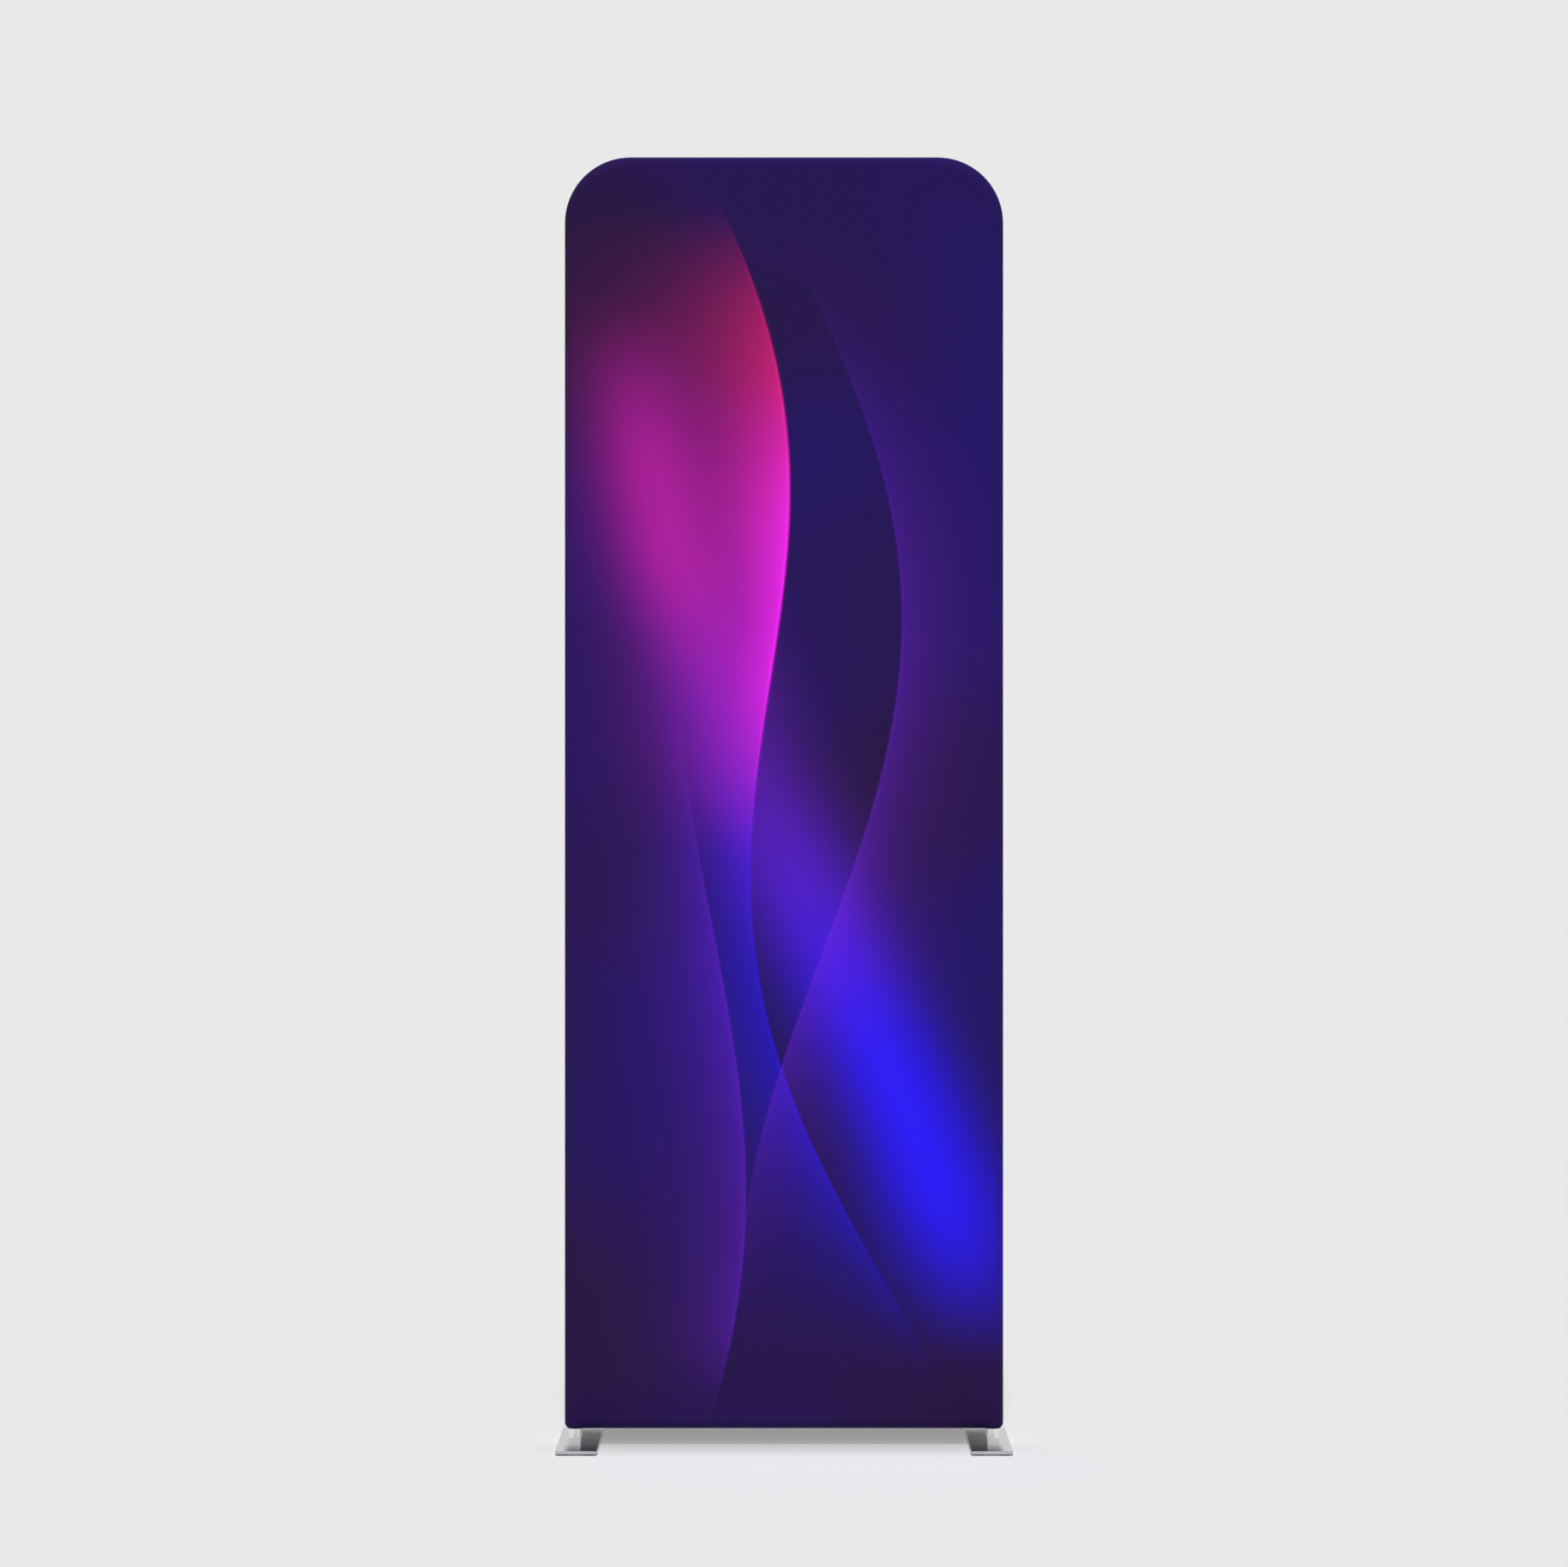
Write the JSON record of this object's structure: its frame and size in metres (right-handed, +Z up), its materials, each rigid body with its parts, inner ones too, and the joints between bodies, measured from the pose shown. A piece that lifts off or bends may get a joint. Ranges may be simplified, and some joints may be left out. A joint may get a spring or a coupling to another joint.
{
  "type": "tension fabric backdrop wall",
  "caption": "Tall free-standing display wall: a printed stretch cover zipped over a rounded slip-joint tube frame, on swivelling flat steel feet.",
  "frame": {"origin": "on the floor, midway between the two feet and under the middle of the panel's thickness", "axes": "+Z is up, the printed face looks along -Y, and +X is to the right of a viewer who faces it"},
  "size_m": [0.8214, 0.4, 2.3485],
  "materials": {
    "printed_fabric": "matte stretch knit with a glowing violet, blue and magenta print",
    "plain_fabric": "matte plain dark stretch knit",
    "tube_aluminium": "satin anodised",
    "insert_aluminium": "mill",
    "rivet_aluminium": "bright",
    "button_chrome": "plated",
    "spring_steel": "blued spring strip",
    "polished_steel": "fine polished",
    "zinc_steel": "zinc plated",
    "rubber": "matte black",
    "nylon": "black moulded nylon",
    "zip_tape": "black woven tape",
    "zip_coil": "black nylon coil",
    "zip_metal": "black enamel"
  },
  "bodies": {
    "wall": {"cover_front": "printed_fabric", "cover_back": "plain_fabric", "left_corner_tube": "tube_aluminium", "left_middle_tube": "tube_aluminium", "left_lower_tube": "tube_aluminium", "left_end_bush": "nylon", "left_thrust_bush": "nylon", "right_corner_tube": "tube_aluminium", "right_middle_tube": "tube_aluminium", "right_lower_tube": "tube_aluminium", "right_end_bush": "nylon", "right_thrust_bush": "nylon", "bottom_bar": "tube_aluminium", "top_joint_insert": "insert_aluminium", "left_upper_joint_insert": "insert_aluminium", "right_upper_joint_insert": "insert_aluminium", "left_lower_joint_insert": "insert_aluminium", "right_lower_joint_insert": "insert_aluminium", "top_leaf_spring": "spring_steel", "left_upper_leaf_spring": "spring_steel", "right_upper_leaf_spring": "spring_steel", "left_lower_leaf_spring": "spring_steel", "right_lower_leaf_spring": "spring_steel", "left_bar_leaf_spring": "spring_steel", "right_bar_leaf_spring": "spring_steel", "joint_rivets": "rivet_aluminium", "bush_rivets": "rivet_aluminium", "zip_upper_tape": "zip_tape", "zip_lower_tape": "zip_tape", "zip_chain": "zip_coil", "zip_stops": "zip_metal"},
    "zip_slider": {"zip_slider": "zip_metal"},
    "zip_pull": {"zip_pull": "zip_metal"},
    "top_button": {"top_snap_button": "button_chrome"},
    "left_upper_button": {"left_upper_snap_button": "button_chrome"},
    "right_upper_button": {"right_upper_snap_button": "button_chrome"},
    "left_lower_button": {"left_lower_snap_button": "button_chrome"},
    "right_lower_button": {"right_lower_snap_button": "button_chrome"},
    "left_bar_button": {"left_bar_snap_button": "button_chrome"},
    "right_bar_button": {"right_bar_snap_button": "button_chrome"},
    "left_foot": {"left_foot_plate": "polished_steel", "left_foot_post": "polished_steel", "left_foot_screw": "zinc_steel", "left_foot_pads": "rubber"},
    "right_foot": {"right_foot_plate": "polished_steel", "right_foot_post": "polished_steel", "right_foot_screw": "zinc_steel", "right_foot_pads": "rubber"}
  },
  "joints": [
    {"name": "left_foot_swivel", "type": "hinge", "parent": "wall", "child": "left_foot", "pos_m": [-0.3802, 0, 0.0085], "axis": [0, 0, 1], "continuous": true},
    {"name": "right_foot_swivel", "type": "hinge", "parent": "wall", "child": "right_foot", "pos_m": [0.3802, 0, 0.0085], "axis": [0, 0, 1], "continuous": true},
    {"name": "top_button_press", "type": "slide", "parent": "wall", "child": "top_button", "axis": [0, 0, 1], "range_m": [0, 0.0046], "stiffness_N_per_m": 600, "springref_m": -0.006, "deforming": ["top_leaf_spring"]},
    {"name": "left_upper_button_press", "type": "slide", "parent": "wall", "child": "left_upper_button", "axis": [-1, 0, 0], "range_m": [0, 0.0046], "stiffness_N_per_m": 600, "springref_m": -0.006, "deforming": ["left_upper_leaf_spring"]},
    {"name": "right_upper_button_press", "type": "slide", "parent": "wall", "child": "right_upper_button", "axis": [1, 0, 0], "range_m": [0, 0.0046], "stiffness_N_per_m": 600, "springref_m": -0.006, "deforming": ["right_upper_leaf_spring"]},
    {"name": "left_lower_button_press", "type": "slide", "parent": "wall", "child": "left_lower_button", "axis": [-1, 0, 0], "range_m": [0, 0.0046], "stiffness_N_per_m": 600, "springref_m": -0.006, "deforming": ["left_lower_leaf_spring"]},
    {"name": "right_lower_button_press", "type": "slide", "parent": "wall", "child": "right_lower_button", "axis": [1, 0, 0], "range_m": [0, 0.0046], "stiffness_N_per_m": 600, "springref_m": -0.006, "deforming": ["right_lower_leaf_spring"]},
    {"name": "left_bar_button_press", "type": "slide", "parent": "wall", "child": "left_bar_button", "axis": [0, 0, -1], "range_m": [0, 0.0046], "stiffness_N_per_m": 600, "springref_m": -0.006, "deforming": ["left_bar_leaf_spring"]},
    {"name": "right_bar_button_press", "type": "slide", "parent": "wall", "child": "right_bar_button", "axis": [0, 0, -1], "range_m": [0, 0.0046], "stiffness_N_per_m": 600, "springref_m": -0.006, "deforming": ["right_bar_leaf_spring"]},
    {"name": "zip_travel", "type": "slide", "parent": "wall", "child": "zip_slider", "axis": [-1, 0, 0], "range_m": [0, 0.6394], "deforming": ["zip_chain"]},
    {"name": "zip_pull_flip", "type": "hinge", "parent": "zip_slider", "child": "zip_pull", "pos_m": [0.3197, 0.02305, 0.07034], "axis": [0, 0, -1], "range_deg": [0, 175]}
  ]
}
